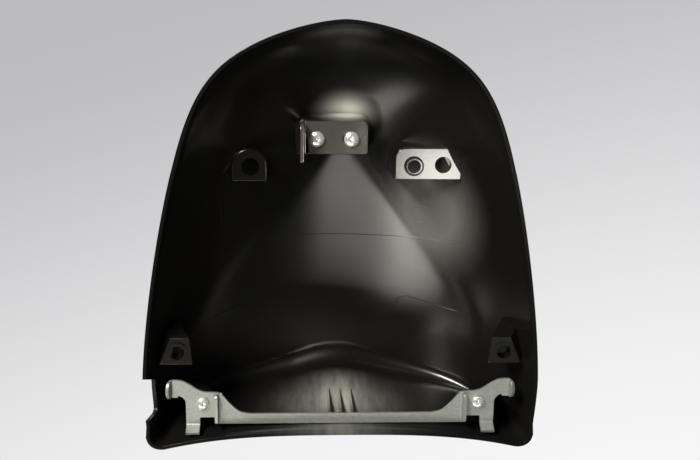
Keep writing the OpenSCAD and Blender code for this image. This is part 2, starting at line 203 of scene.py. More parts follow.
def trimmed_grid(depth):
    """(u, v) for a grid of the surface depth inside the skin, whose border lies on the plane of the rim."""
    rows, cols = grid_params()
    inside_u, corner_u, corner_v = 0.4, 0.85, 1.8
    halvings, side_power = 40, 8

    def to_rim(points):
        """The points where lines from well inside the surface to its border cross the plane of the rim."""
        beside = points[:, 1] <= corner_v
        u0 = np.where(beside, inside_u, corner_u)
        v0 = np.where(beside, points[:, 1], corner_v)
        ahead = (np.abs(points[:, 0]) <= corner_u) & ~beside
        u0 = np.where(ahead, np.abs(points[:, 0]), u0)
        start = np.stack([u0, v0], -1)
        end = np.stack([np.abs(points[:, 0]), points[:, 1]], -1)
        low, high = np.zeros(len(points)), np.ones(len(points))
        for _ in range(halvings):
            middle = (low + high) / 2
            p = start + (end - start) * middle[:, None]
            above = offset_skin(p[:, 0], p[:, 1], depth)[:, 2] > 0
            low, high = np.where(above, middle, low), np.where(above, high, middle)
        p = start + (end - start) * low[:, None]
        p[:, 0] *= np.sign(points[:, 0]) + (points[:, 0] == 0)
        return p

    side = to_rim(np.stack([np.ones_like(rows), rows], -1))
    edge = to_rim(np.stack([cols, np.full_like(cols, 2.0)], -1))
    edge[0], edge[-1] = [-side[-1, 0], side[-1, 1]], side[-1]
    u = np.outer(side[:, 0], cols)
    v = np.tile(rows[:, None], (1, len(cols))).astype(float)
    # The rows of the brow bend towards the trimmed front edge
    weight = np.clip((rows - 1), 0, 1)[:, None] ** 2
    u = u + weight * (edge[None, :, 0] - u[-1][None, :])
    v = v + weight * (edge[None, :, 1] - v[-1][None, :])
    side_v = side[:, 1] - v[:, -1]
    v = v + side_v[:, None] * np.abs(cols)[None, :] ** side_power
    return u, v


def ring_of(grid, tip):
    """The border of a grid, once round: the tip, the right side, the front edge, the left side."""
    return np.concatenate([[tip], grid[:, -1], grid[-1, -2:0:-1], grid[::-1, 0]])


def rim_fillet(ring, near, inward, r, steps=4):
    """Rings that round a border, from the surface to the rim's flat, inside the ring if inward is 1."""
    k = np.arange(len(ring))
    tangent = ring[(k + 1) % len(ring)] - ring[k - 1]
    tangent[:, 2] = 0
    tangent /= np.linalg.norm(tangent, axis=1, keepdims=True)
    flat = np.stack([tangent[:, 1], -tangent[:, 0], 0 * tangent[:, 0]], -1)
    middle = np.array([0, -40.0, 0])
    flat *= np.sign(((middle - ring) * flat).sum(1))[:, None] * inward
    up = near - ring
    up -= (up * tangent).sum(1)[:, None] * tangent
    up /= np.linalg.norm(up, axis=1, keepdims=True)
    half = np.arccos(np.clip((up * flat).sum(1), -1, 1)) / 2
    reach = (r / np.tan(half))[:, None]
    between = up + flat
    between /= np.linalg.norm(between, axis=1, keepdims=True)
    centre = ring + between * (r / np.sin(half))[:, None]
    first, last = ring + up * reach - centre, ring + flat * reach - centre
    sweep = np.arccos(np.clip((first * last).sum(1) / r / r, -1, 1))
    rows = []
    for i in range(steps + 1):
        f = i / steps
        turned = np.sin((1 - f) * sweep)[:, None] * first + np.sin(f * sweep)[:, None] * last
        rows.append(centre + turned / np.sin(sweep)[:, None])
    return rows


# Meshes

def new_mesh(name, verts, faces):
    """An object from points in millimetres."""
    mesh = bpy.data.meshes.new(name)
    points = [tuple(p) for p in np.asarray(verts, float) * MM]
    mesh.from_pydata(points, [], [tuple(int(i) for i in face) for face in faces])
    mesh.update()
    ob = bpy.data.objects.new(name, mesh)
    bpy.context.scene.collection.objects.link(ob)
    return ob


def fix_normals(ob):
    bm = bmesh.new()
    bm.from_mesh(ob.data)
    bmesh.ops.recalc_face_normals(bm, faces=bm.faces)
    bm.to_mesh(ob.data)
    bm.free()
    return ob


def band_faces(low, high):
    """Faces between two rings of point numbers."""
    n = len(low)
    return [(low[i], low[(i + 1) % n], high[(i + 1) % n], high[i]) for i in range(n)]


def grid_faces(n_rows, n_cols, base, tip):
    """Faces of a grid whose first row is closed by a tip."""
    at = lambda i, j: base + i * n_cols + j
    faces = [(tip, at(0, j + 1), at(0, j)) for j in range(n_cols - 1)]
    for i in range(n_rows - 1):
        for j in range(n_cols - 1):
            faces.append((at(i, j), at(i, j + 1), at(i + 1, j + 1), at(i + 1, j)))
    return faces


def ring_index(n_rows, n_cols, base, tip):
    """The numbers of a grid's border points, in the order of ring_of."""
    at = lambda i, j: base + i * n_cols + j
    right = [at(i, n_cols - 1) for i in range(n_rows)]
    front = [at(n_rows - 1, j) for j in range(n_cols - 2, 0, -1)]
    left = [at(i, 0) for i in range(n_rows - 1, -1, -1)]
    return [tip] + right + front + left


def on_rim(grid):
    """The same grid with its border laid on the plane of the rim."""
    grid[:, 0, 2] = grid[:, -1, 2] = grid[-1, :, 2] = 0
    return grid


def shell_mesh():
    """The moulding alone: outer skin, inner skin and a rounded rim."""
    rows, cols = grid_params()
    outer = on_rim(skin(cols[None, :], rows[:, None]))
    inner = on_rim(offset_skin(*trimmed_grid(WALL), WALL))
    tips = np.array([[0, OVERALL_L / 2, 0], [0, OVERALL_L / 2 - WALL, 0]])
    verts, faces, bands = [], [], []
    n_rows, n_cols = outer.shape[:2]
    for grid, tip, inward in ((outer, tips[0], 1), (inner, tips[1], -1)):
        base = sum(len(part) for part in verts)
        # The neighbour of each border point, two steps in
        near = grid.copy()
        near[-1, -1], near[-1, 0] = grid[-3, -3], grid[-3, 2]
        near[:-1, -1], near[:-1, 0], near[-1, 1:-1] = grid[:-1, -3], grid[:-1, 2], grid[-3, 1:-1]
        fillet = rim_fillet(ring_of(grid, tip), ring_of(near, grid[1, n_cols // 2]), inward, RIM_R)
        grid = grid.copy()
        first = fillet[0]
        grid[:, -1] = first[1:1 + n_rows]
        grid[-1, -2:0:-1] = first[1 + n_rows:1 + n_rows + n_cols - 2]
        grid[::-1, 0] = first[1 + n_rows + n_cols - 2:]
        flat = grid.reshape(-1, 3)
        verts.append(np.concatenate([flat, [first[0]]]))
        tip_index = base + len(flat)
        faces += grid_faces(n_rows, n_cols, base, tip_index)
        rings = [ring_index(n_rows, n_cols, base, tip_index)]
        for row in fillet[1:]:
            start = sum(len(part) for part in verts)
            verts.append(row)
            rings.append(list(range(start, start + len(row))))
        for low, high in zip(rings, rings[1:]):
            faces += band_faces(low, high)
        bands.append(rings[-1])
    faces += band_faces(*bands)
    return fix_normals(new_mesh("cowl_body", np.concatenate(verts), faces))


def inner_volume(depth):
    """A closed solid that fills the moulding up to depth inside its skin, with a skirt below the rim."""
    skirt_z = -12
    rows, cols = grid_params()
    grid = offset_skin(cols[None, ::2], rows[::2, None], depth)
    tip = np.array([0, OVERALL_L / 2 - depth, -depth])
    skirt = ring_of(grid, tip)
    skirt[:, 2] = skirt_z
    n_rows, n_cols = grid.shape[:2]
    flat = grid.reshape(-1, 3)
    verts = np.concatenate([flat, [tip], skirt])
    top = ring_index(n_rows, n_cols, 0, len(flat))
    bottom = list(range(len(flat) + 1, len(flat) + 1 + len(top)))
    faces = grid_faces(n_rows, n_cols, 0, len(flat)) + band_faces(top, bottom)
    faces.append(tuple(bottom))
    return fix_normals(new_mesh("core", verts, faces))


def loft_rings(name, rings):
    """A closed solid through rings with the same number of points."""
    n = len(rings[0])
    faces = [tuple(range(n))[::-1], tuple((len(rings) - 1) * n + i for i in range(n))]
    for k in range(len(rings) - 1):
        faces += band_faces(range(k * n, (k + 1) * n), range((k + 1) * n, (k + 2) * n))
    return fix_normals(new_mesh(name, np.concatenate(rings), faces))


def rounded_ring(corners, radii, z, steps=10):
    """A flat ring round a convex polygon, with each corner rounded."""
    points = []
    corners = [np.array(c, float) for c in corners]
    for i, corner in enumerate(corners):
        before, after = corners[i - 1], corners[(i + 1) % len(corners)]
        a = (before - corner) / np.linalg.norm(before - corner)
        b = (after - corner) / np.linalg.norm(after - corner)
        half = math.acos(max(-1, min(1, float(a @ b)))) / 2
        r = max(radii[i], 0.02)
        centre = corner + (a + b) / np.linalg.norm(a + b) * r / sin(half)
        start = corner + a * r / math.tan(half) - centre
        end = corner + b * r / math.tan(half) - centre
        sweep = pi - 2 * half
        for k in range(steps + 1):
            f = k / steps
            spoke = (sin((1 - f) * sweep) * start + sin(f * sweep) * end) / sin(sweep)
            points.append([*(centre + spoke), z])
    return np.array(points)


def lathe(name, profile, x=0, y=0, steps=64):
    """Revolves a closed (r, z) profile about an upright axis."""
    verts = []
    for k in range(steps):
        a = 2 * pi * k / steps
        verts += [[x + r * cos(a), y + r * sin(a), z] for r, z in profile]
    n = len(profile)
    faces = []
    for k in range(steps):
        for i in range(n):
            j, m = (i + 1) % n, (k + 1) % steps
            faces.append((k * n + i, k * n + j, m * n + j, m * n + i))
    ob = new_mesh(name, verts, faces)
    bm = bmesh.new()
    bm.from_mesh(ob.data)
    bmesh.ops.remove_doubles(bm, verts=bm.verts, dist=1e-7)
    bmesh.ops.dissolve_degenerate(bm, edges=bm.edges, dist=1e-8)
    bmesh.ops.recalc_face_normals(bm, faces=bm.faces)
    bm.to_mesh(ob.data)
    bm.free()
    return ob


def rod(x, y, z, d, l):
    return lathe("rod", [(0, z), (d / 2, z), (d / 2, z + l), (0, z + l)], x, y)


def combine(ob, other, operation):
    """Applies a boolean of two solids to the first and removes the second."""
    mod = ob.modifiers.new("b", "BOOLEAN")
    mod.operation, mod.object = operation, other
    mod.solver = "MANIFOLD" if "MANIFOLD" in mod.bl_rna.properties["solver"].enum_items.keys() else "EXACT"
    bpy.context.view_layer.update()
    mesh = bpy.data.meshes.new_from_object(ob.evaluated_get(bpy.context.evaluated_depsgraph_get()))
    ob.modifiers.clear()
    old, ob.data = ob.data, mesh
    bpy.data.meshes.remove(old)
    bpy.data.objects.remove(other)
    return ob


def cut(ob, other):
    return combine(ob, other, "DIFFERENCE")


def join(ob, other):
    return combine(ob, other, "UNION")


def union(solids):
    """One solid from several."""
    whole = solids[0]
    for solid in solids[1:]:
        whole = join(whole, solid)
    return whole


def mirrored(ob):
    """A copy of a solid on the other side."""
    mesh = ob.data.copy()
    mesh.transform(Matrix.Scale(-1, 4, (1, 0, 0)))
    mesh.flip_normals()
    other = bpy.data.objects.new(ob.name + "_m", mesh)
    bpy.context.scene.collection.objects.link(other)
    return other


def smooth(ob, angle=28):
    """Smooth shading that leaves flat faces flat and edges over the angle sharp."""
    ob.data.shade_smooth()
    ob.data.set_sharp_from_angle(angle=radians(angle))
    weighted = ob.modifiers.new("weighted", "WEIGHTED_NORMAL")
    weighted.keep_sharp, weighted.weight = True, 100
    return ob


# The moulding

def shelf_ring(x, y, w, l, r, front_r, inset, z):
    """The outline of a shelf, whose front edge lies at y, with its back and front corners rounded."""
    w, l, y = w / 2 - inset, l - 2 * inset, y + inset
    front_r, r = max(0.05, front_r - inset), max(0.05, r - inset)
    corners = [(x - w, y), (x + w, y), (x + w, y + l), (x - w, y + l)]
    return rounded_ring(corners, [front_r, front_r, r, r], z)


def shelf_solid(x, y, z, w, l, r):
    """A hollow hood, open at its front."""
    flare = (CREST_H - z) * math.tan(radians(DRAFT))
    rings = []
    for t in np.linspace(0, pi / 2, 6):
        inset, rise = SHELF_EDGE_R * (1 - sin(t)), SHELF_EDGE_R * (1 - cos(t))
        rings.append(shelf_ring(x, y, w, l, r, 1.0, inset, z + rise))
    rings.append(shelf_ring(x, y, w + 2 * flare, l + flare, r * (w + 2 * flare) / w, 1.0, 0, CREST_H))
    body = loft_rings("shelf", rings)
    in_w, in_l, in_r = w - 2 * SHELF_WALL, l - SHELF_WALL + 1, max(1, r - SHELF_WALL)
    top_w, top_l, top_r = in_w + 2 * flare, in_l + flare, in_r * (in_w + 2 * flare) / in_w
    low = shelf_ring(x, y - 1, in_w, in_l, in_r, 0.05, 0, z + SHELF_T)
    high = shelf_ring(x, y - 1, top_w, top_l, top_r, 0.05, 0, CREST_H + SHELF_T)
    return cut(body, loft_rings("hollow", [low, high]))


def drafted_block(x, y, z, outline, lean):
    """A block that rises from a face round (x, y) into the shell and leans to the outside."""
    face = [(x + dx, y + dy) for dx, dy in outline]
    middle = np.mean(np.array(face), axis=0)
    rings = []
    for t in np.linspace(0, pi / 2, 5):
        inset = BLOCK_EDGE_R * (1 - sin(t))
        smaller = [middle + (np.array(p) - middle) * (1 - inset / 10) for p in face]
        rings.append(rounded_ring(smaller, [BLOCK_R] * len(face), z + BLOCK_EDGE_R * (1 - cos(t))))
    top = [np.array(p) + np.array(lean) for p in face]
    rings.append(rounded_ring(top, [BLOCK_R] * len(face), z + BLOCK_H))
    return loft_rings("block", rings)


def collar():
    """The raised collar round the inner hole of the twin shelf."""
    r, low, top = COLLAR_D / 2, SHELF_Z - COLLAR_H, SHELF_Z + 1
    profile = [(0, low), (r - 0.5, low), (r - 0.15, low + 0.15), (r, low + 0.5), (r, top), (0, top)]
    return lathe("collar", profile, COLLAR_X, COLLAR_Y)


def rib(x):
    """One upright rib on the inside of the front wall."""
    outside, inside = STRAP_Y - 8, STRAP_Y + STRAP_W
    profile = [(outside, BOSS_Z), (inside, BOSS_Z), (inside - RIB_LEAN, RIB_TOP), (outside, RIB_TOP)]
    rings = [np.array([[x + dx, y, z] for y, z in profile]) for dx in (-RIB_T / 2, RIB_T / 2)]
    return loft_rings("rib", rings)


def notch():
    """The cutter for the notch in the rim beside the stay's left arm."""
    back = NOTCH_FRONT + NOTCH_L
    profile = [(NOTCH_FRONT, -8), (back + 3.5, -8), (back - 7.5, NOTCH_H)]
    y, z = NOTCH_FRONT + NOTCH_R, NOTCH_H - NOTCH_R
    for a in np.linspace(0, pi / 2, 12):
        profile.append((y - NOTCH_R * sin(a), z + NOTCH_R * cos(a)))
    return loft_rings("notch", [np.array([[x, y, z] for y, z in profile]) for x in (ARM_X - 8, ARM_X + 32)])


def moulding():
    """The whole shell with its shelves, pads, bosses, ribs, notch and holes."""
    solids = [shelf_solid(SINGLE_X, SINGLE_Y, SHELF_Z, SINGLE_W, SINGLE_L, SINGLE_W / 2 - 0.1),
              shelf_solid(TWIN_X, TWIN_Y, SHELF_Z, TWIN_W, TWIN_L, TWIN_R),
              shelf_solid(LATCH_X, LATCH_Y, LATCH_Z, LATCH_W, LATCH_L, LATCH_R), collar()]
    for place in ((PAD_X, PAD_Y, PAD_Z, PAD_OUTLINE, PAD_LEAN),
                  (STAY_SCREW_X, STAY_SCREW_Y, BOSS_Z, BOSS_OUTLINE, BOSS_LEAN)):
        block = drafted_block(*place)
        solids += [mirrored(block), block]
    solids += [rod(side * PAD_X, PAD_Y, PAD_Z - 1.2, SOCKET_COLLAR_D, 2) for side in (-1, 1)]
    solids += [rib(k * RIB_PITCH) for k in (-1, 0, 1)]
    inserts = combine(union(solids), inner_volume(WALL / 2), "INTERSECT")
    shell = cut(join(shell_mesh(), inserts), notch())
    holes = [(SINGLE_HOLE_X, SINGLE_HOLE_Y, SHELF_Z - 1, SINGLE_HOLE, SHELF_T + 2),
             (COLLAR_X, COLLAR_Y, SHELF_Z - COLLAR_H - 1, COLLAR_HOLE, SHELF_T + COLLAR_H + 2),
             (PLAIN_X, PLAIN_Y, SHELF_Z - 1, PLAIN_HOLE, SHELF_T + 2)]
    holes += [(x, LATCH_SCREW_Y, LATCH_Z - 1, SCREW_HOLE, SHELF_T + 2) for x in LATCH_SCREWS]
    holes += [(side * PAD_X, PAD_Y, PAD_Z - 2, SOCKET_D, SOCKET_L + 2) for side in (1, -1)]
    holes += [(side * STAY_SCREW_X, STAY_SCREW_Y, BOSS_Z - 1, INSERT_D, INSERT_L + 3) for side in (1, -1)]
    for hole in holes:
        shell = cut(shell, rod(*hole))
    shell.name = shell.data.name = "cowl_body"
    return smooth(shell)


body = moulding()
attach(body, "root")
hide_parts("cowl_shell")

# Marks of the mould on the inner skin: fine raised lines
MARK_STEP, MARK_JUMP, MARK_FOOT_W, MARK_TOP_W, MARK_SUNK, MARK_TOP = 1.5, 6.0, 0.45, 0.28, 0.3, 0.7


def arc(x, y, r, start, end, steps):
    return [(x + r * cos(a), y + r * sin(a)) for a in np.linspace(start, end, steps)]


# Each mark's height and its points, seen from the rim: the parting line of the crown's slide, the corner
# beside the latch shelf, the ejector's circle and its twin, and the edges of two inserts of the mould
MARKS = (
    (0.10, [(-94.4, 35.4), (-96.6, 27.0), (-97.2, -4.8),
            *arc(-86.5, -8.5, 10.2, pi, 1.5 * pi, 8)[1:], (-40, -18.9), (20, -18.6), (82.2, -18.0),
            *arc(82.2, -8.0, 10.0, -0.5 * pi, 0.1, 8)[1:], (92.6, 22.0)]),
    (0.12, [(-24.1, 57.0), (-24.6, 39.5), (-35.4, 39.6)]),
    (0.12, arc(-64.5, 3.3, 8.0, 0, 1.96 * pi, 28)),
    (0.07, arc(66.4, 10.2, 7.5, 1.2 * pi, 2.1 * pi, 14)),
    (0.12, [(-48.7, -84.5), (-50.3, -75.9), (-56.3, -72.3), (-90.7, -80.2), (-98.3, -81.1), (-103.5, -85.5)]),
    (0.12, [(103.5, -86.3), (97.0, -82.3), (85.4, -79.6), (78.0, -77.4)]),
)


def on_ceiling(tree, x, y):
    """The point of the inner skin over (x, y), seen from the rim."""
    hit = tree.ray_cast(Vector((x, y, 1)) * MM, Vector((0, 0, 1)))[0]
    return np.array(hit) / MM


def raised_line(tree, points, height):
    """A fine raised line along points of the inner skin, without the places where it would jump to a wall."""
    line = []
    for (x0, y0), (x1, y1) in zip(points, points[1:]):
        n = max(1, round(math.dist((x0, y0), (x1, y1)) / MARK_STEP))
        line += [on_ceiling(tree, x0 + (x1 - x0) * k / n, y0 + (y1 - y0) * k / n) for k in range(n)]
    line.append(on_ceiling(tree, *points[-1]))
    line = [p for k, p in enumerate(line) if k == 0 or np.linalg.norm(p - line[k - 1]) < MARK_JUMP]
    top = height * MARK_TOP
    profile = ((-MARK_FOOT_W, -MARK_SUNK), (-MARK_TOP_W, top), (0, height), (MARK_TOP_W, top),
               (MARK_FOOT_W, -MARK_SUNK))
    rings = []
    for k, p in enumerate(line):
        ahead = line[min(k + 1, len(line) - 1)] - line[max(k - 1, 0)]
        side = np.cross(ahead, (0, 0, 1.0))
        side /= np.linalg.norm(side)
        down = np.cross(side, ahead / np.linalg.norm(ahead))
        down *= -np.sign(down[2])
        rings.append(np.array([p + side * across + down * out for across, out in profile]))
    return loft_rings("line", rings)


def mould_marks():
    ceiling = BVHTree.FromObject(body, bpy.context.evaluated_depsgraph_get())
    joined = union([raised_line(ceiling, points, height) for height, points in MARKS])
    joined.name = joined.data.name = "mould_marks"
    return smooth(joined, 60)


marks = mould_marks()
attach(marks, "root")


# Metal pieces

def spline(points, steps=7):
    """A smooth curve through points, without its last one."""
    pts = [np.array(p, float) for p in points]
    pts = [2 * pts[0] - pts[1], *pts, 2 * pts[-1] - pts[-2]]
    out = []
    for a, b, c, d in zip(pts, pts[1:], pts[2:], pts[3:]):
        for t in np.arange(steps) / steps:
            square, cube = 2 * a - 5 * b + 4 * c - d, 3 * b - a - 3 * c + d
            out.append(0.5 * (2 * b + (c - a) * t + square * t ** 2 + cube * t ** 3))
    return out


def plate(name, outline, z, t):
    """A flat plate with softened edges, from any outline."""
    ob = new_mesh(name, [[x, y, z] for x, y in outline], [range(len(outline))])
    bm = bmesh.new()
    bm.from_mesh(ob.data)
    for v in bmesh.ops.extrude_face_region(bm, geom=bm.faces[:])["geom"]:
        if isinstance(v, bmesh.types.BMVert):
            v.co.z += t * MM
    bmesh.ops.recalc_face_normals(bm, faces=bm.faces)
    rims = [e for e in bm.edges if abs(e.verts[0].co.z - e.verts[1].co.z) < 1e-9]
    bmesh.ops.bevel(bm, geom=rims, offset=PLATE_EDGE * MM, segments=2, profile=0.5, affect="EDGES",
                    clamp_overlap=True)
    bm.to_mesh(ob.data)
    bm.free()
    return ob


def bent_tab(name, root, out, width, t, bend, radius, reach, lead=3.0, round_end=0.0, edge=0.3):
    """A tab that leaves a plate at root in the direction out, bends down by bend and ends after reach."""
    out = np.array([*out, 0.0])
    side = np.array([-out[1], out[0], 0.0])
    path = [(-lead, 0.0, 0.0), (0.0, 0.0, 0.0)]
    for a in np.linspace(0, bend, 9)[1:]:
        path.append((radius * sin(a), radius * (1 - cos(a)), a))
    bent_x, bent_z, _ = path[-1]
    cuts = [reach * f for f in np.linspace(0.15, 1, 5)]
    if round_end:
        turns = np.linspace(0, pi / 2 - 0.15, 8)
        cuts = [0.15 * (reach - round_end)] + [reach - round_end * cos(q) for q in turns]
    for c in cuts:
        path.append((bent_x + c * cos(bend), bent_z + c * sin(bend), bend))
    lengths = np.cumsum([0] + [math.dist(p[:2], q[:2]) for p, q in zip(path, path[1:])])
    rings = []
    for (px, pz, a), length in zip(path, lengths):
        left = lengths[-1] - length
        half = width / 2
        if round_end and left < round_end:
            half -= round_end * (1 - math.sqrt(max(0, 1 - (1 - left / round_end) ** 2)))
            half = max(half, 0.6)
        middle = np.array(root) + out * px + np.array([0, 0, -pz])
        normal = np.array([out[0] * sin(a), out[1] * sin(a), cos(a)])
        h = t / 2
        right_side = [(half - edge, -h), (half, -h + edge), (half, h - edge), (half - edge, h)]
        corners = [(-half + edge, -h), *right_side, (-half + edge, h), (-half, h - edge), (-half, -h + edge)]
        rings.append(np.array([middle + side * p + normal * q for p, q in corners]))
    return loft_rings(name, rings)


def stay_outline():
    """Half the stay's flat outline: gap beside the leg, leg, hook, arm and the curved gusset to the strap."""
    inner_y = STRAP_Y + STRAP_W
    leg = [(FIN_X, STRAP_Y), (FIN_X, GAP_Y - 0.5), (FIN_X + 0.8, GAP_Y), (LEG_IN - 0.6, GAP_Y),
           (LEG_IN, GAP_Y - 0.6), (LEG_IN, FOOT_Y), (LEG_OUT, FOOT_Y)]
    hook = [(LEG_OUT + HOOK_R + HOOK_R * cos(a), HOOK_Y + HOOK_R * sin(a))
            for a in np.linspace(pi, pi / 2, 14)]
    arm = [(ARM_X, -121.6), (ARM_X, -109.8)]
    gusset = spline([
        (ARM_X - 0.6, -109.3), (125.5, -108.9), (120.5, -109.6), (114.6, -112.7), (108.5, -116.8),
        (103.5, -118.7), (97.5, -119.1), (93.2, -119.5), (90.2, -121.2), (86.2, -126.2),
        (81.0, -131.8), (76.2, -135.2), (69.5, inner_y)])
    return leg + hook + arm + gusset + [(69.0, inner_y)]


def stay():
    """The zinc-plated stay: a strap with two curved gussets, legs with bent feet, fins and hooked arms."""
    half = stay_outline()
    ob = plate("stay", half + [(-x, y) for x, y in reversed(half)], STAY_Z, STAY_T)
    mid = STAY_Z + STAY_T / 2
    for side in (-1, 1):
        foot = bent_tab("foot", (side * (LEG_IN + LEG_OUT) / 2, FOOT_Y + 0.2, mid), (0, -1),
                        LEG_OUT - LEG_IN - 0.2, STAY_T, radians(90 - FOOT_LEAN), FOOT_R, FOOT_L)
        ear = bent_tab("ear", (side * (ARM_X - 2.6), EAR_Y, mid), (side, 0), EAR_W, STAY_T,
                       radians(90 - EAR_LEAN), EAR_R, EAR_H, lead=4.0, round_end=EAR_END_R)
        fin = bent_tab("fin", (side * (FIN_X - STAY_T - 0.6), FIN_Y, mid), (side, 0), FIN_L, STAY_T,
                       radians(90 - FIN_LEAN), FIN_R, FIN_H, lead=2.0, round_end=FIN_END_R)
        ob = union([ob, foot, ear, fin])
        ob = cut(ob, rod(side * STAY_SCREW_X, STAY_SCREW_Y, STAY_Z - 1, SCREW_HOLE, STAY_T + 2))
    return smooth(ob, 35)


def latch_plate():
    """The latch plate: a flat plate with a bent flange, a hole and a slot."""
    bottom = LATCH_Z - PLATE_T
    right, left = PLATE_LEFT - PLATE_W, PLATE_LEFT - FLANGE_BEND
    front, back = LATCH_Y + 1, LATCH_Y + 1 + PLATE_L
    ring = rounded_ring([(right, front), (left, front), (left, back), (right, back)],
                        [PLATE_R, 0.05, 0.05, PLATE_R], 0)
    ob = plate("latch_plate", ring[:, :2], bottom, PLATE_T)
    bend = bent_tab("flange", (left, (front + back) / 2, bottom + PLATE_T / 2), (1, 0), PLATE_L, PLATE_T,
                    radians(90), PLATE_T / 2 + 1.2, 3.0, edge=PLATE_EDGE)
    low, top, reach_y = LATCH_Z - FLANGE_H, bottom - 2.0, front - FLANGE_REACH
    corners = [(reach_y, low), (back, low), (back, top), (reach_y, top)]
    ring = rounded_ring(corners, [1.2, FLANGE_CORNER, 0.3, 1.2], 0)
    flange = plate("side", ring[:, :2], -PLATE_T / 2, PLATE_T)
    x = PLATE_LEFT - PLATE_T / 2 - 0.2
    flange.data.transform(Matrix(((0, 0, 1, x * MM), (1, 0, 0, 0), (0, 1, 0, 0), (0, 0, 0, 1))))
    ob = union([ob, bend, flange])
    ob = cut(ob, rod(LATCH_SCREWS[0], LATCH_SCREW_Y, bottom - 1, SCREW_HOLE, PLATE_T + 2))
    r, slot_x = SCREW_HOLE / 2, LATCH_SCREWS[1]
    turns = np.linspace(0, pi, 16)
    ends = [(slot_x + SLOT_TRAVEL + r * sin(a), LATCH_SCREW_Y - r * cos(a)) for a in turns]
    ends += [(slot_x - r * sin(a), LATCH_SCREW_Y + r * cos(a)) for a in turns]
    rings = [np.array([[x, y, z] for x, y in ends]) for z in (bottom - 1, LATCH_Z + 1)]
    return smooth(cut(ob, loft_rings("slot", rings)), 35)


def screw(name, x, y, z, head_d, head_h, length, spin):
    """A pan-head screw under z with a cross recess and a threaded shank."""
    r = head_d / 2
    profile = [(0, z), (r - 0.4, z), (r - 0.1, z - 0.1), (r, z - 0.45)]
    for a in np.linspace(0, pi / 2, 14)[:-1]:
        profile.append((r * cos(a), z - head_h * 0.36 - head_h * 0.64 * sin(a)))
    head = lathe(name, profile + [(0, z - head_h)], x, y)
    for quarter in (0, 1):
        a = spin + quarter * pi / 2
        way, off = np.array([cos(a), sin(a)]), np.array([-sin(a), cos(a)])
        rings = []
        # The mouth of the recess below the head, then its narrower floor
        for depth, reach, w in ((-0.6, 0.27, 0.80), (head_h * 0.62, 0.13, 0.45)):
            corners = [way * p * head_d * reach + off * q * w for p, q in SQUARE]
            rings.append(np.array([[x + c[0], y + c[1], z - head_h + depth] for c in corners]))
        head = cut(head, loft_rings("recess", rings))
    core, crest = SCREW_D / 2 - THREAD_DEPTH, SCREW_D / 2
    shank = [(0, z - 0.4), (crest, z - 0.4), (crest, z + 1.0)]
    for k in range(int((length - 2.2) / THREAD_PITCH)):
        shank += [(core, z + 1.4 + k * THREAD_PITCH), (crest, z + 1.4 + (k + 0.5) * THREAD_PITCH)]
    shank += [(core, z + length - 0.6), (core - 0.6, z + length), (0, z + length)]
    return smooth(join(head, lathe("shank", shank, x, y, 32)), 35)


# Each metal piece's node, with its mesh and its slot
metal = {"front_bracket": (stay(), "zinc_stay"), "catch_bracket": (latch_plate(), "zinc_latch")}
for name, x, spin in (("left", LATCH_SCREWS[0], 0.75), ("right", LATCH_SCREWS[1], 0.5)):
    ob = screw("latch_screw_" + name, x, LATCH_SCREW_Y, LATCH_Z - PLATE_T, LATCH_HEAD_D, LATCH_HEAD_H,
               LATCH_SCREW_L, spin)
    metal["catch_screw_" + name] = (ob, "screw_steel")
for name, side, spin in (("left", 1, 0.3), ("right", -1, 0.9)):
    ob = screw("stay_screw_" + name, side * STAY_SCREW_X, STAY_SCREW_Y, STAY_Z, STAY_HEAD_D, STAY_HEAD_H,
               STAY_SCREW_L, spin)
    metal["bracket_screw_" + name] = (ob, "screw_steel")
for name, (ob, slot) in metal.items():
    ob.name = ob.data.name = ob.name.split(".")[0]
    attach(ob, "root")
    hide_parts(name)

# Materials, in metres. The inner skin is satin, with glossier shelf faces, dust, and light painted into its
# colour in three places: a painted sheen on the front wall, a painted highlight behind the latch shelf and
# painted light beside the fan.
INNER_BLACK, SHEEN_AND_DUST_GREY = (0.0040, 0.0038, 0.0034), (0.60, 0.585, 0.53)
INNER_ROUGH, SHELF_ROUGH, PAINTED_LIGHT_LEVEL, DUST = 0.22, 0.14, 0.8, 0.25
DENT_DEPTH, SKIN_NEAR = 0.0004, 0.0003
# Below this height the rim is trimmed and dull, and above the next one the shell has its full gloss
RIM_DULL_Z, RIM_GLOSS_Z, DULL_SHINE, FULL_SHINE = 0.0035, 0.0045, 0.06, 0.5
# Borders of the shelf faces and of the painted sheen on the front wall, in pairs from outside to inside
FACE_TOP, FACE_FRONT, FACE_BACK, FACE_SIDE = (0.0407, 0.0402), (0.036, 0.037), (0.068, 0.067), (0.095, 0.094)
WALL_BACK, WALL_SIDE, WALL_LOW, WALL_HIGH = (-0.127, -0.137), (0.085, 0.0), (0.016, 0.040), (0.098, 0.055)
# Centre and radii of the painted highlight behind the latch shelf and of the painted light beside the fan
PAINTED_HIGHLIGHT_AT, PAINTED_HIGHLIGHT_SIZE = (-0.003, 0.088, 0.062), (0.034, 0.022, 0.024)
# The painted light beside the fan lightens that side of the crown
PAINTED_SIDE_LIGHT_AT, PAINTED_SIDE_LIGHT_SIZE = (-0.070, 0.006, 0.072), (0.056, 0.080, 0.070)


def add_node(tree, kind, **values):
    """A new node of a tree, with values set."""
    made = tree.nodes.new("ShaderNode" + kind)
    for key, value in values.items():
        setattr(made, key, value)
    return made


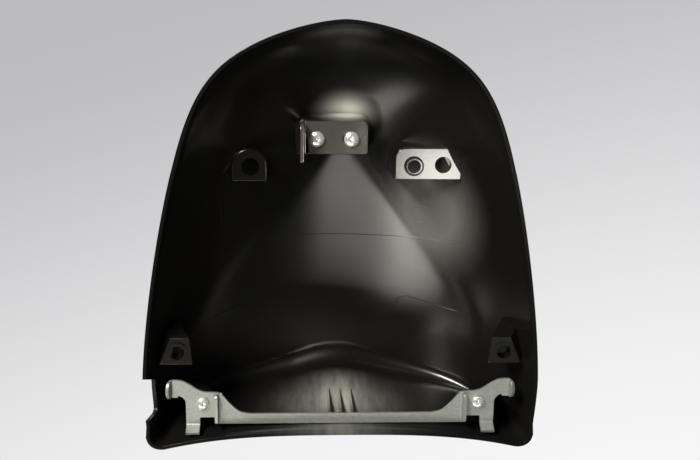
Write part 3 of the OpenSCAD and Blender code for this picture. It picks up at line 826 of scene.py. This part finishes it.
class Shader:
    """A Principled material, with the few nodes that the materials here are made of."""

    def __init__(self, name, color, rough, metallic):
        self.material = bpy.data.materials.new(name)
        self.material.use_nodes = True
        self.tree = self.material.node_tree
        self.link, self.node = self.tree.links.new, partial(add_node, self.tree)
        self.inputs = self.tree.nodes["Principled BSDF"].inputs
        self.inputs["Base Color"].default_value = (*color, 1)
        self.inputs["Roughness"].default_value = rough
        self.inputs["Metallic"].default_value = metallic
        self.inputs["IOR"].default_value = 1.5
        self.place = self.node("TexCoord").outputs["Object"]

    def noise(self, scale, detail, sizes=(1, 1, 1)):
        made, mapped = self.node("TexNoise"), self.node("Mapping")
        mapped.inputs["Scale"].default_value = sizes
        made.inputs["Scale"].default_value, made.inputs["Detail"].default_value = scale, detail
        self.link(self.place, mapped.inputs["Vector"])
        self.link(mapped.outputs[0], made.inputs["Vector"])
        return made.outputs["Fac"]

    def ranged(self, value, low, high, out_low=0, out_high=1):
        """A value mapped from one range to another, without leaving the second."""
        made = self.node("MapRange")
        for key, number in (("From Min", low), ("From Max", high), ("To Min", out_low), ("To Max", out_high)):
            made.inputs[key].default_value = number
        self.link(value, made.inputs["Value"])
        return made.outputs[0]

    def fold(self, operation, *values):
        """One value from several, by a math operation; a value can be a plain number."""
        out = values[0]
        for value in values[1:]:
            made = self.node("Math", operation=operation)
            self.link(out, made.inputs[0])
            if isinstance(value, (int, float)):
                made.inputs[1].default_value = value
            else:
                self.link(value, made.inputs[1])
            out = made.outputs[0]
        return out

    def mixed(self, factor, first, second):
        """A colour between two colours."""
        made = self.node("Mix", data_type="RGBA")
        made.inputs[6].default_value, made.inputs[7].default_value = (*first, 1), (*second, 1)
        self.link(factor, made.inputs[0])
        return made.outputs[2]

    def blob(self, centre, radii):
        """1 at the centre of an ellipsoid, falling to 0 at its surface."""
        off, part = (self.node("VectorMath", operation=kind) for kind in ("SUBTRACT", "DIVIDE"))
        length = self.node("VectorMath", operation="LENGTH")
        off.inputs[1].default_value, part.inputs[1].default_value = centre, radii
        self.link(self.place, off.inputs[0])
        self.link(off.outputs[0], part.inputs[0])
        self.link(part.outputs[0], length.inputs[0])
        return self.ranged(length.outputs["Value"], 1, 0)


def varied(name, color, rough, metallic=0.0, grain=200.0, spread=0.15, dents=0.0, tint=0.0, scratches=0.0):
    """A material whose gloss, colour and surface vary with fine noise: grain is the noise's scale."""
    shader = Shader(name, color, rough, metallic)
    smoother, rougher = rough * (1 - spread), rough * (1 + spread)
    blotch = shader.ranged(shader.noise(grain * 0.15, 5), 0.3, 0.7, smoother, rougher)
    shader.link(blotch, shader.inputs["Roughness"])
    if tint:
        darker, lighter = [c * (1 - tint) for c in color], [min(1, c * (1 + tint)) for c in color]
        factor = shader.ranged(shader.noise(grain * 0.4, 8), 0.35, 0.65)
        shader.link(shader.mixed(factor, darker, lighter), shader.inputs["Base Color"])
    height = shader.noise(grain, 4)
    if scratches:
        lines = shader.ranged(shader.noise(grain * 0.5, 2, (0.04, 1, 1)), 0.62, 0.66, 0, -scratches)
        height = shader.fold("ADD", height, lines)
    bump = shader.node("Bump")
    bump.inputs["Distance"].default_value, bump.inputs["Strength"].default_value = DENT_DEPTH, dents
    shader.link(height, bump.inputs["Height"])
    shader.link(bump.outputs[0], shader.inputs["Normal"])
    return shader


def dull_rim(shader, z):
    """Takes the shine off the trimmed rim."""
    shine = shader.ranged(z, RIM_DULL_Z, RIM_GLOSS_Z, DULL_SHINE, FULL_SHINE)
    shader.link(shine, shader.inputs["Specular IOR Level"])


def axes(shader):
    """The x, y and z of the point that is shaded."""
    split = shader.node("SeparateXYZ")
    shader.link(shader.place, split.inputs[0])
    return split.outputs[:]


def gloss_black():
    shader = varied("gloss_black", (0.006, 0.006, 0.007), 0.12, grain=900, spread=0.2, dents=0.02)
    dull_rim(shader, axes(shader)[2])
    return shader.material


def satin_black():
    """The inner skin, with a painted sheen, a painted highlight and painted light in its colour."""
    shader = varied("satin_black", INNER_BLACK, INNER_ROUGH, grain=160, spread=0.07, dents=0.03)
    ranged, fold = shader.ranged, shader.fold
    x, y, z = axes(shader)
    dull_rim(shader, z)
    absolute = shader.node("Math", operation="ABSOLUTE")
    shader.link(x, absolute.inputs[0])
    off_centre = absolute.outputs[0]
    # The faces of the single and the twin shelf
    shelf = fold("MULTIPLY", ranged(z, *FACE_TOP), ranged(y, *FACE_FRONT), ranged(y, *FACE_BACK),
                 ranged(off_centre, *FACE_SIDE))
    gloss = shader.node("Mix")
    shader.link(shelf, gloss.inputs[0])
    shader.link(shader.inputs["Roughness"].links[0].from_socket, gloss.inputs[2])
    gloss.inputs[3].default_value = SHELF_ROUGH
    shader.link(gloss.outputs[0], shader.inputs["Roughness"])
    # Painted light: a painted sheen on the middle of the front wall, then a painted highlight behind the
    # latch shelf and painted light beside the fan
    across = ranged(off_centre, *WALL_SIDE)
    front = fold("MULTIPLY", ranged(y, *WALL_BACK), across, across, across, ranged(z, *WALL_LOW, 0.35, 1),
                 ranged(z, *WALL_HIGH), ranged(shader.noise(60, 6, (3, 1, 0.6)), 0.3, 0.7, 0.32, 0.60))
    painted_highlight, painted_side_light = shader.blob(PAINTED_HIGHLIGHT_AT, PAINTED_HIGHLIGHT_SIZE), shader.blob(PAINTED_SIDE_LIGHT_AT, PAINTED_SIDE_LIGHT_SIZE)
    painted_highlight = ranged(fold("MULTIPLY", painted_highlight, painted_highlight, painted_highlight), 0, 0.45, 0, 1.25)
    painted_side_light = ranged(fold("MULTIPLY", painted_side_light, painted_side_light), 0, 0.40, 0, 0.22)
    painted_light = fold("MULTIPLY", fold("MAXIMUM", front, painted_highlight, painted_side_light), PAINTED_LIGHT_LEVEL)
    specks = fold("MULTIPLY", ranged(shader.noise(2600, 1), 0.80, 0.84), DUST)
    # The black turns towards the grey where there is painted light and where the dust specks lie
    color = shader.mixed(fold("MAXIMUM", painted_light, specks), INNER_BLACK, SHEEN_AND_DUST_GREY)
    shader.link(color, shader.inputs["Base Color"])
    return shader.material


black, satin = gloss_black(), satin_black()
zinc = varied("zinc", (0.31, 0.32, 0.30), 0.46, 0.8, 1500, 0.25, 0.12, 0.10).material
plated = varied("latch_plating", (0.21, 0.195, 0.17), 0.09, 0.8, 700, 0.3, 0.06, 0.08, 0.5).material
bright = varied("bright_zinc", (0.80, 0.80, 0.79), 0.24, 0.75, 1200, 0.3, 0.06, 0.06).material
brass = varied("brass", (0.69, 0.55, 0.29), 0.3, 1.0, 1200, 0.2, 0.1, 0.1).material


def give(ob, material):
    ob.data.materials.clear()
    ob.data.materials.append(material)


def outer_tree():
    """A search tree of the outer skin."""
    rows, cols = grid_params()
    outer = skin(cols[None, ::2], rows[::2, None])
    n_rows, n_cols = outer.shape[:2]
    quads = grid_faces(n_rows, n_cols, 0, 0)[n_cols - 1:]
    return BVHTree.FromPolygons([tuple(p) for p in outer.reshape(-1, 3) * MM], quads)


give(body, black)
body.data.materials.append(satin)
outside = outer_tree()
for face in body.data.polygons:
    face.material_index = 0 if outside.find_nearest(face.center)[3] < SKIN_NEAR else 1
give(marks, satin)
for name, piece in nodes.items():
    if name != "cowl_shell":
        give(piece, brass if "insert" in name else bright if "nut" in name else zinc)
for name, (ob, slot) in metal.items():
    give(ob, bright if "screw" in name else plated if name == "catch_bracket" else zinc)

# Camera: it looks up into the shell, turned a little from square. Angles are in degrees, and the distance and
# the point that it looks at, on the plane of the rim, are in millimetres.
TILT, TURN, ROLL, DISTANCE, AIM = 15.0, 3.0, 0.9, 750.0, (-4.107, 11.7, 0.0)
FOCAL_PX, PICTURE_PX, SENSOR = 1041.67, 700, 36


def photo_camera():
    tilt, turn, roll = radians(TILT), radians(TURN), radians(ROLL)
    forward = -Vector((sin(turn), sin(tilt) * cos(turn), -cos(tilt) * cos(turn)))
    level = forward.cross(Vector((0, 1, 0))).normalized()
    upright = level.cross(forward)
    right = level * cos(roll) + upright * sin(roll)
    up = upright * cos(roll) - level * sin(roll)
    data = bpy.data.cameras.new("camera")
    data.sensor_width = SENSOR
    data.lens = FOCAL_PX * SENSOR / PICTURE_PX
    data.clip_start, data.clip_end = 0.01, 100
    camera = bpy.data.objects.new("camera", data)
    bpy.context.scene.collection.objects.link(camera)
    rotation = Matrix((right, up, -forward)).transposed()
    camera.matrix_world = Matrix.Translation((Vector(AIM) - forward * DISTANCE) * MM) @ rotation.to_4x4()
    bpy.context.scene.camera = camera


# Floor under the rim. It can be seen from above only, so the camera looks through it.
FLOOR_HALF, FLOOR_Z, FLOOR_COLOR = 20000, -0.6, (0.82, 0.82, 0.81, 1)


def one_sided_paper():
    """A pale matt material whose back is clear."""
    paper = bpy.data.materials.new("floor")
    paper.use_nodes = True
    tree = paper.node_tree
    tree.nodes.clear()
    out, mix, matt, clear, side = (add_node(tree, kind) for kind in (
        "OutputMaterial", "MixShader", "BsdfDiffuse", "BsdfTransparent", "NewGeometry"))
    matt.inputs["Color"].default_value = FLOOR_COLOR
    tree.links.new(side.outputs["Backfacing"], mix.inputs[0])
    tree.links.new(matt.outputs[0], mix.inputs[1])
    tree.links.new(clear.outputs[0], mix.inputs[2])
    tree.links.new(mix.outputs[0], out.inputs["Surface"])
    return paper


def pale_floor():
    corners = [[x * FLOOR_HALF, y * FLOOR_HALF, FLOOR_Z] for x, y in SQUARE]
    floor = new_mesh("floor", corners, [range(4)])
    give(floor, one_sided_paper())
    floor.visible_diffuse = floor.visible_glossy = floor.visible_transmission = floor.visible_shadow = False


# Room: a pale backdrop above the plane of the rim, shaded from one side to the other, and a dim studio below.
# Matt surfaces are lit by one even grey instead.
BACKDROP_WAY, BACKDROP_FULL = (-0.25, -0.97, 0.0), 0.55
BACKDROP_DARK, BACKDROP_LIGHT = (0.50, 0.50, 0.52, 1), (0.93, 0.93, 0.93, 1)
ROOM_DIM, ROOM_EVEN, HORIZON = (0.012, 0.012, 0.012, 1), (0.35, 0.35, 0.35, 1), 0.1


def studio_room():
    world = bpy.data.worlds.new("studio")
    bpy.context.scene.world = world
    world.use_nodes = True
    tree = world.node_tree
    tree.nodes.clear()
    link, node = tree.links.new, partial(add_node, tree)

    def eased(value, low, high):
        made = node("MapRange", interpolation_type="SMOOTHSTEP")
        made.inputs["From Min"].default_value, made.inputs["From Max"].default_value = low, high
        link(value, made.inputs["Value"])
        return made.outputs[0]

    way, split, along = node("TexCoord"), node("SeparateXYZ"), node("VectorMath", operation="DOT_PRODUCT")
    link(way.outputs["Generated"], split.inputs[0])
    along.inputs[1].default_value = BACKDROP_WAY
    link(way.outputs["Generated"], along.inputs[0])
    paper = node("ValToRGB")
    paper.color_ramp.elements[0].color = BACKDROP_DARK
    paper.color_ramp.elements[1].color = BACKDROP_LIGHT
    link(eased(along.outputs["Value"], 0.0, BACKDROP_FULL), paper.inputs[0])
    room = node("Mix", data_type="RGBA")
    room.inputs[6].default_value = ROOM_DIM
    link(eased(split.outputs["Z"], -HORIZON, HORIZON), room.inputs[0])
    link(paper.outputs[0], room.inputs[7])
    seen, even = node("Background"), node("Background")
    link(room.outputs[2], seen.inputs["Color"])
    even.inputs["Color"].default_value = ROOM_EVEN
    ray = node("LightPath")
    direct, clear = (node("Math", operation="MAXIMUM") for _ in range(2))
    link(ray.outputs["Is Camera Ray"], direct.inputs[0])
    link(ray.outputs["Is Glossy Ray"], direct.inputs[1])
    link(direct.outputs[0], clear.inputs[0])
    link(ray.outputs["Is Transmission Ray"], clear.inputs[1])
    pick, out = node("MixShader"), node("OutputWorld")
    link(clear.outputs[0], pick.inputs[0])
    link(even.outputs[0], pick.inputs[1])
    link(seen.outputs[0], pick.inputs[2])
    link(pick.outputs[0], out.inputs["Surface"])


# Lamps: name, direction from the part, distance, width, height and brightness. The two front ones show in
# the fan of the crown, the ridge one along the crest, the spot in the shelf faces, and the sky one outside.
LAMP_COLOR = (1.0, 0.975, 0.89)
LAMPS = (
    ("front", (0.10, -0.71, -0.69), 1.5, 0.9, 0.36, 4.2),
    ("front_right", (0.40, -0.60, -0.69), 1.5, 0.40, 0.50, 5.5),
    ("ridge", (0.50, 0.68, -0.55), 1.5, 0.26, 0.9, 80.0),
    ("spot", (-0.17, -0.19, -0.967), 2.96, 0.28, 0.28, 30.0),
    ("sky", (-0.4, 0.6, 0.9), 2.0, 1.6, 1.6, 2.0),
)


def softbox(name, toward, distance, width, height, radiance):
    """A rectangular lamp that faces the part."""
    way = Vector(toward).normalized()
    data = bpy.data.lights.new(name, "AREA")
    data.shape = "RECTANGLE"
    data.size, data.size_y = width, height
    data.energy = radiance * pi * width * height
    data.color = LAMP_COLOR
    ob = bpy.data.objects.new(name, data)
    ob.location = way * distance
    ob.rotation_euler = (-way).to_track_quat("-Z", "Y").to_euler()
    bpy.context.scene.collection.objects.link(ob)


photo_camera()
pale_floor()
studio_room()
for lamp in LAMPS:
    softbox(*lamp)
bpy.context.scene.view_settings.view_transform = "Standard"
